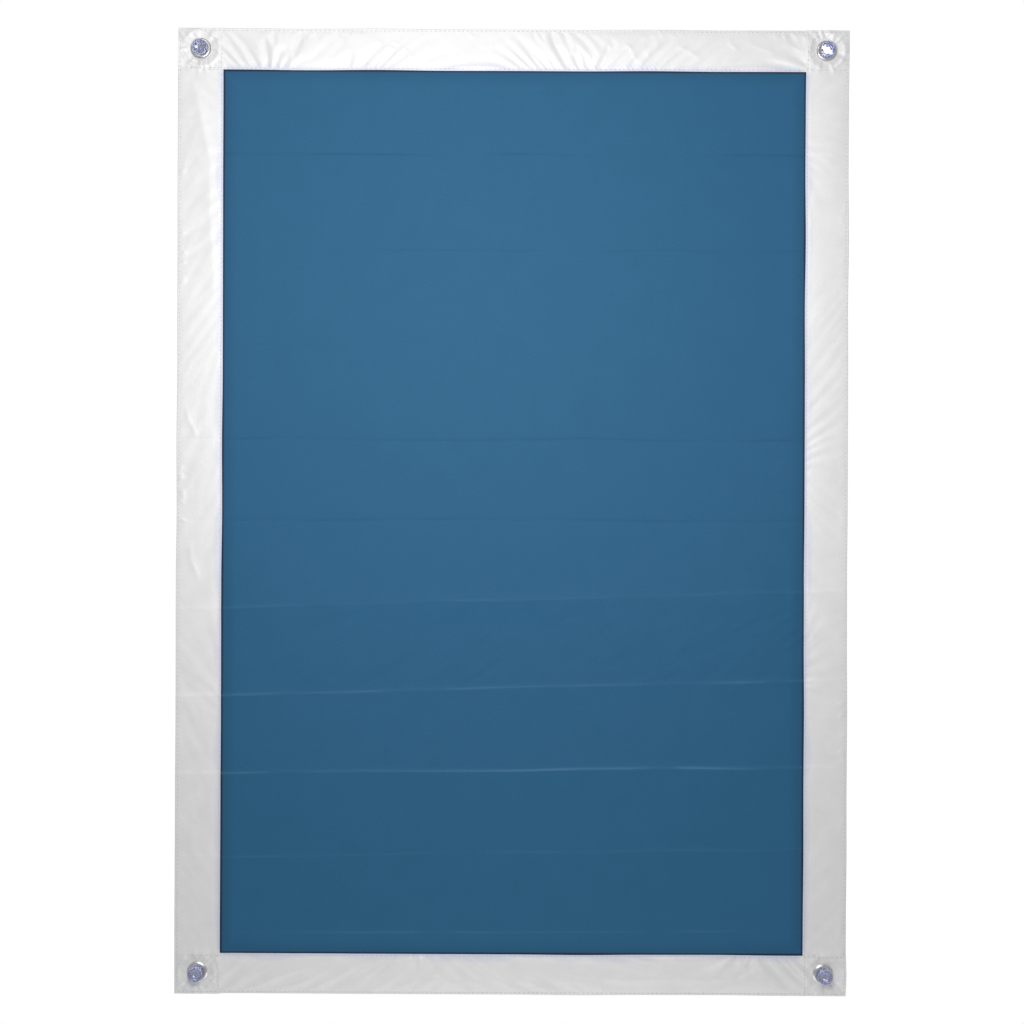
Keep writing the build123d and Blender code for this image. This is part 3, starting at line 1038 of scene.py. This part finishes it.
CUP_PROFILE = (
    (0.0, 1.8, 0.0),
    (6.0, 1.8, 2.0),
    (13.2, 0.25, 0.8),
    (14.0, 0.0, 0.3),
    (17.5, 0.0, 0.2),
    (17.5, 0.7, 0.3),
    (15.4, 2.5, 3.0),
    (12.2, 3.9, 3.0),
    (9.2, 4.7, 2.5),
    (6.6, 5.7, 0.8),
    (6.5, 7.6, 0.6),
    (3.8, 7.6, 0.3),
    (3.8, 14.2, 0.4),
    (6.3, 14.2, 0.8),
    (6.3, 19.0, 1.8),
    (4.7, 19.0, 0.1),
    (4.4, 18.7, 0.15),
    (4.1, 19.0, 0.1),
    (2.4, 19.0, 0.5),
    (2.2, 16.4, 0.6),
    (0.0, 16.4, 0.0),
)


def make_fittings():
    """The four eyelets and suction cups, and a better finish for the washers."""
    for corner in CORNERS:
        profile = rounded(EYELET_PROFILE)
        ring = lathe("nickel_eyelet_" + corner, EYELETS[corner], profile, NICKEL, closed=True)
        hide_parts("eyelet_" + corner)
        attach(ring, end_body(corner))
        profile = rounded(CUP_PROFILE)
        cup = lathe("clear_cup_" + corner, CUPS[corner], profile, PVC, closed=False)
        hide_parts("suction_cup_" + corner)
        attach(cup, "cup_" + corner)
        washer = frame["nodes"]["eyelet_washer_" + corner]
        washer.data.materials.clear()
        washer.data.materials.append(NICKEL)


for fold in range(len(CREASES)):
    make_sheet(fold)
    make_side_hem("left", fold)
    make_side_hem("right", fold)
make_end_hem("top")
make_end_hem("bottom")
make_stitches()
make_fittings()


# ------------------------------------------------------------------ floor, light and camera

FLOOR_DROP = 0.33  # the floor lies this far below the blind, which hangs on its pane
CAMERA_DISTANCE = 1.4
VIEW_WIDTH = 0.9004  # what the picture takes in at the blind
SENSOR = 36.0
CAMERA_ROLL = math.radians(-0.23)
ROOM_LIGHT = 0.34  # how bright the surroundings are, as light


def make_floor():
    """A pale floor below the blind and in front of it."""
    bpy.ops.mesh.primitive_plane_add(size=1)
    floor = bpy.context.object
    floor.name = "floor"
    floor.scale = (6, 3.4, 1)
    floor.location = (0, -0.9, cad_low.z - FLOOR_DROP)
    material, nodes, links, surface = shader("pale_floor", Roughness=0.8)
    grain = add(nodes, "ShaderNodeTexNoise", Scale=3.0)
    tone = ramp(nodes, links, grain.outputs["Fac"], [(0.3, thrice(0.78)), (0.7, thrice(0.82))])
    links.new(tone, surface.inputs["Base Color"])
    floor.data.materials.append(material)


def make_area_light(name, place, target, wide, high, watts):
    """A lamp with an elliptical face, turned to its target."""
    light = bpy.data.lights.new(name, "AREA")
    light.shape = "ELLIPSE"
    light.size, light.size_y = wide, high
    light.energy = watts
    lamp = bpy.data.objects.new(name, light)
    lamp.location = place
    lamp.rotation_mode = "QUATERNION"
    lamp.rotation_quaternion = (Vector(target) - Vector(place)).to_track_quat("-Z", "Y")
    bpy.context.scene.collection.objects.link(lamp)


def make_world():
    """White behind the object, and a dimmer white that lights it."""
    world = bpy.data.worlds.new("studio")
    bpy.context.scene.world = world
    world.use_nodes = True
    nodes, links = world.node_tree.nodes, world.node_tree.links
    white = add(nodes, "ShaderNodeBackground")
    for background, strength in ((nodes["Background"], ROOM_LIGHT), (white, 1.0)):
        background.inputs["Strength"].default_value = strength
        background.inputs["Color"].default_value = (1, 1, 1, 1)
    rays = nodes.new("ShaderNodeLightPath")
    mix = nodes.new("ShaderNodeMixShader")
    links.new(rays.outputs["Is Camera Ray"], mix.inputs["Fac"])
    links.new(nodes["Background"].outputs[0], mix.inputs[1])
    links.new(white.outputs[0], mix.inputs[2])
    links.new(mix.outputs[0], nodes["World Output"].inputs["Surface"])


def make_camera():
    """A camera straight in front of the blind, as near level as the blind hangs."""
    camera = bpy.data.cameras.new("camera")
    camera.sensor_width = SENSOR
    camera.lens = SENSOR * CAMERA_DISTANCE / VIEW_WIDTH
    eye = bpy.data.objects.new("camera", camera)
    eye.location = (0.0, -CAMERA_DISTANCE - MID / MM, 0.0)
    eye.rotation_euler = (math.pi / 2, CAMERA_ROLL, 0.0)
    bpy.context.scene.collection.objects.link(eye)
    bpy.context.scene.camera = eye


# Name, place, target, width, height and watts.
LIGHTS = (
    ("key", (-0.04, -0.74, 0.20), (0, 0, 0.18), 0.40, 0.40, 3.9),
    ("high", (-0.2, -0.75, 0.90), (0, 0, 0.20), 0.35, 0.35, 1.6),
    ("bounce", (0.0, -0.16, -0.60), (0, 0, -0.40), 0.80, 0.10, 0.22),
    ("back_fill", (0.8, 1.6, 0.9), (0, 0, 0), 1.2, 1.2, 18.0),
)

make_floor()
make_world()
for light in LIGHTS:
    make_area_light(*light)
make_camera()
bpy.context.scene.view_settings.view_transform = "Standard"
